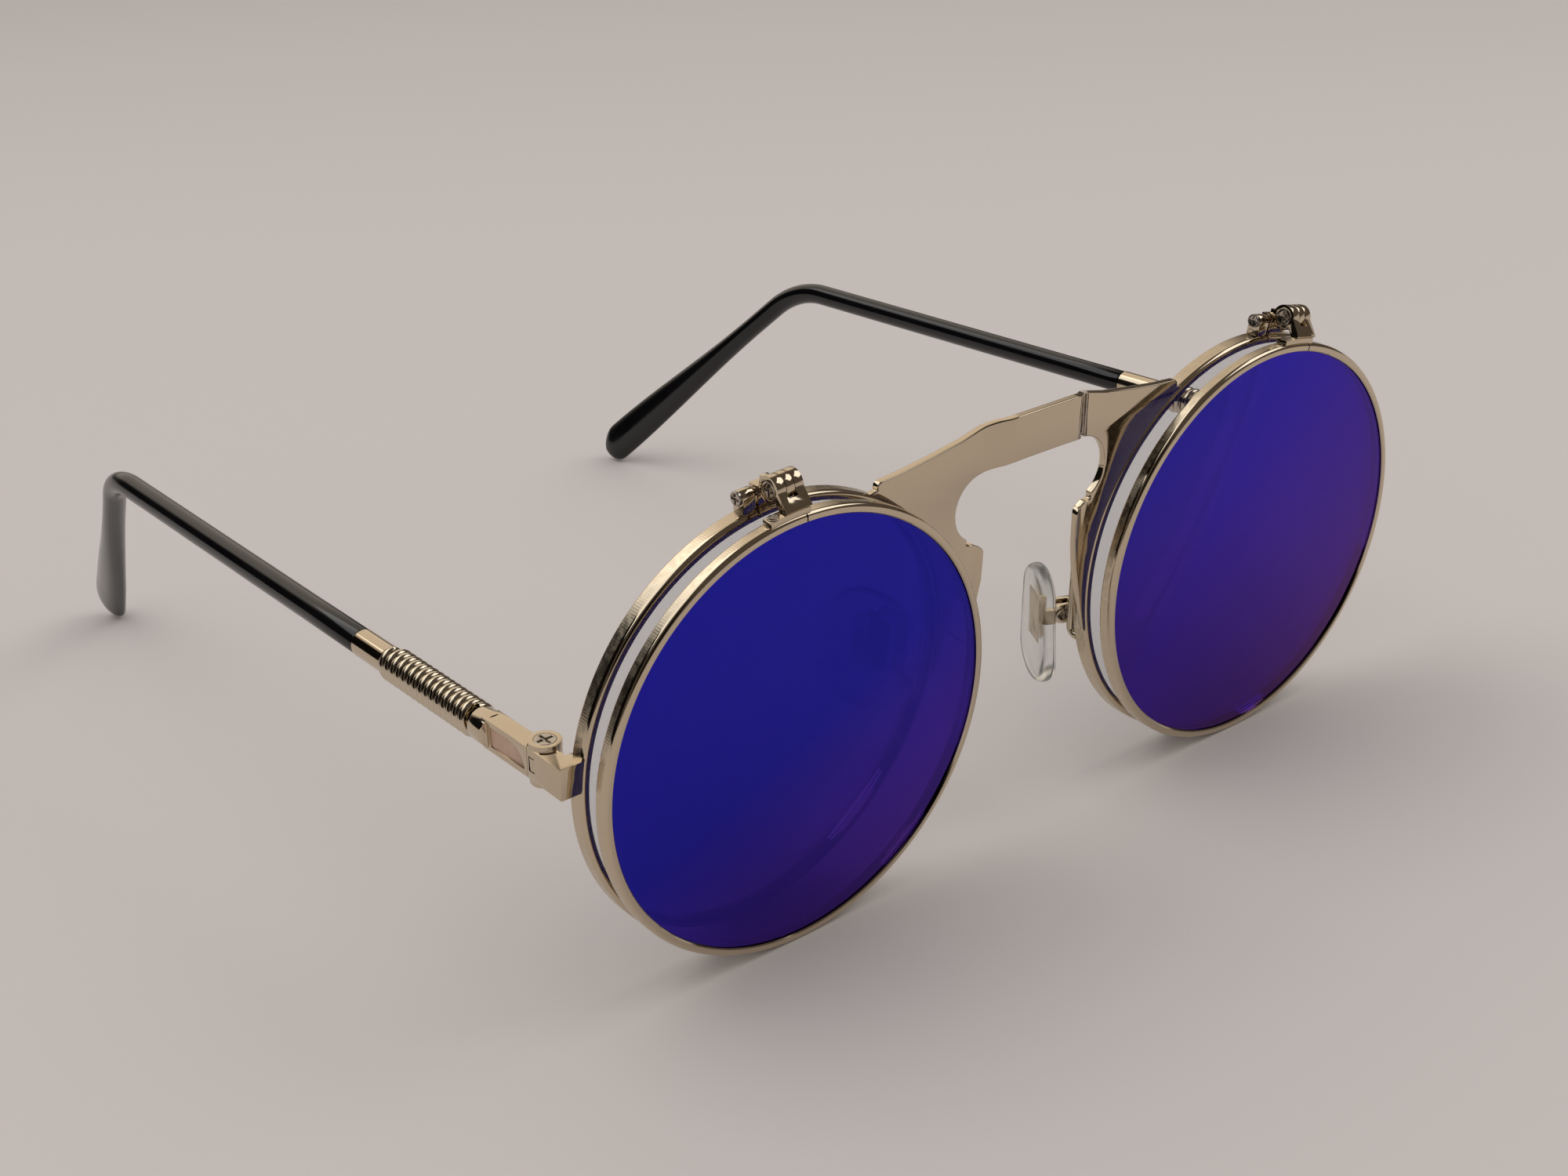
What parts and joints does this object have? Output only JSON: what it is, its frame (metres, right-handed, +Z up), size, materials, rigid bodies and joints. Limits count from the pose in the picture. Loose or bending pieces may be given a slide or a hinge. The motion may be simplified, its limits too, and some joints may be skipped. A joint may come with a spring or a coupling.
{
  "type": "flip-up sunglasses",
  "caption": "round steampunk flip-up sunglasses with a keyhole bridge plate, mirrored flip lenses over clear lenses and coil-wound folding temples",
  "frame": {"origin": "centre of the overall footprint on the surface that the rims and ear tips stand on", "axes": "+Z up, front faces -Y, temples run back along +Y, wearer's right is -X"},
  "size_m": [0.1232, 0.1545, 0.0526],
  "materials": {
    "nickel": "polished light nickel plate over stamped metal",
    "wire_steel": "bright drawn and wound wire",
    "screw_steel": "turned steel screws with cross slots",
    "mirror_lens": "blue to violet mirror coated lens, slightly see-through",
    "clear_lens": "clear uncoated lens",
    "silicone": "clear soft silicone with a smooth face",
    "black_tip": "glossy black acetate sleeve"
  },
  "bodies": {
    "front": {"bridge_plate": "nickel", "rear_rim_right": "nickel", "clear_lens_right": "clear_lens", "end_piece_right": "nickel", "temple_screw_right": "screw_steel", "rear_leaf_right": "nickel", "rim_screw_right": "screw_steel", "pad_arm_right": "wire_steel", "pad_screw_right": "screw_steel", "rear_rim_left": "nickel", "clear_lens_left": "clear_lens", "end_piece_left": "nickel", "temple_screw_left": "screw_steel", "rear_leaf_left": "nickel", "rim_screw_left": "screw_steel", "pad_arm_left": "wire_steel", "pad_screw_left": "screw_steel"},
    "flip_right": {"flip_rim_right": "nickel", "mirror_lens_right": "mirror_lens", "front_leaf_right": "nickel", "flip_screw_right": "screw_steel", "lock_screw_right": "screw_steel"},
    "flip_left": {"flip_rim_left": "nickel", "mirror_lens_left": "mirror_lens", "front_leaf_left": "nickel", "flip_screw_left": "screw_steel", "lock_screw_left": "screw_steel"},
    "temple_right": {"temple_front_right": "nickel", "core_wire_right": "wire_steel", "coil_right": "wire_steel", "ferrule_right": "nickel", "ear_tip_right": "black_tip"},
    "temple_left": {"temple_front_left": "nickel", "core_wire_left": "wire_steel", "coil_left": "wire_steel", "ferrule_left": "nickel", "ear_tip_left": "black_tip"},
    "pad_right": {"nose_pad_right": "silicone", "pad_insert_right": "nickel"},
    "pad_left": {"nose_pad_left": "silicone", "pad_insert_left": "nickel"}
  },
  "joints": [
    {"name": "lens_flip_right", "type": "hinge", "parent": "front", "child": "flip_right", "pos_m": [-0.03546, -0.07471, 0.05111], "axis": [-0.9989, 0.0058, -0.0467], "range_deg": [0, 100]},
    {"name": "lens_flip_left", "type": "hinge", "parent": "front", "child": "flip_left", "pos_m": [0.03959, -0.07464, 0.0506], "axis": [-0.9796, -0.0249, 0.1995], "range_deg": [0, 100]},
    {"name": "temple_fold_right", "type": "hinge", "parent": "front", "child": "temple_right", "pos_m": [-0.0593, -0.06585, 0.02816], "axis": [0, 0.1236, -0.9923], "range_deg": [0, 67]},
    {"name": "temple_fold_left", "type": "hinge", "parent": "front", "child": "temple_left", "pos_m": [0.0593, -0.06585, 0.02816], "axis": [0, -0.1236, 0.9923], "range_deg": [0, 80]},
    {"name": "pad_rock_right", "type": "hinge", "parent": "front", "child": "pad_right", "pos_m": [-0.0116, -0.06417, 0.02061], "axis": [-0.4378, 0.8891, 0.1339], "range_deg": [-8, 8]},
    {"name": "pad_rock_left", "type": "hinge", "parent": "front", "child": "pad_left", "pos_m": [0.0116, -0.06417, 0.02061], "axis": [0.4378, 0.8891, 0.1339], "range_deg": [-8, 8]}
  ]
}
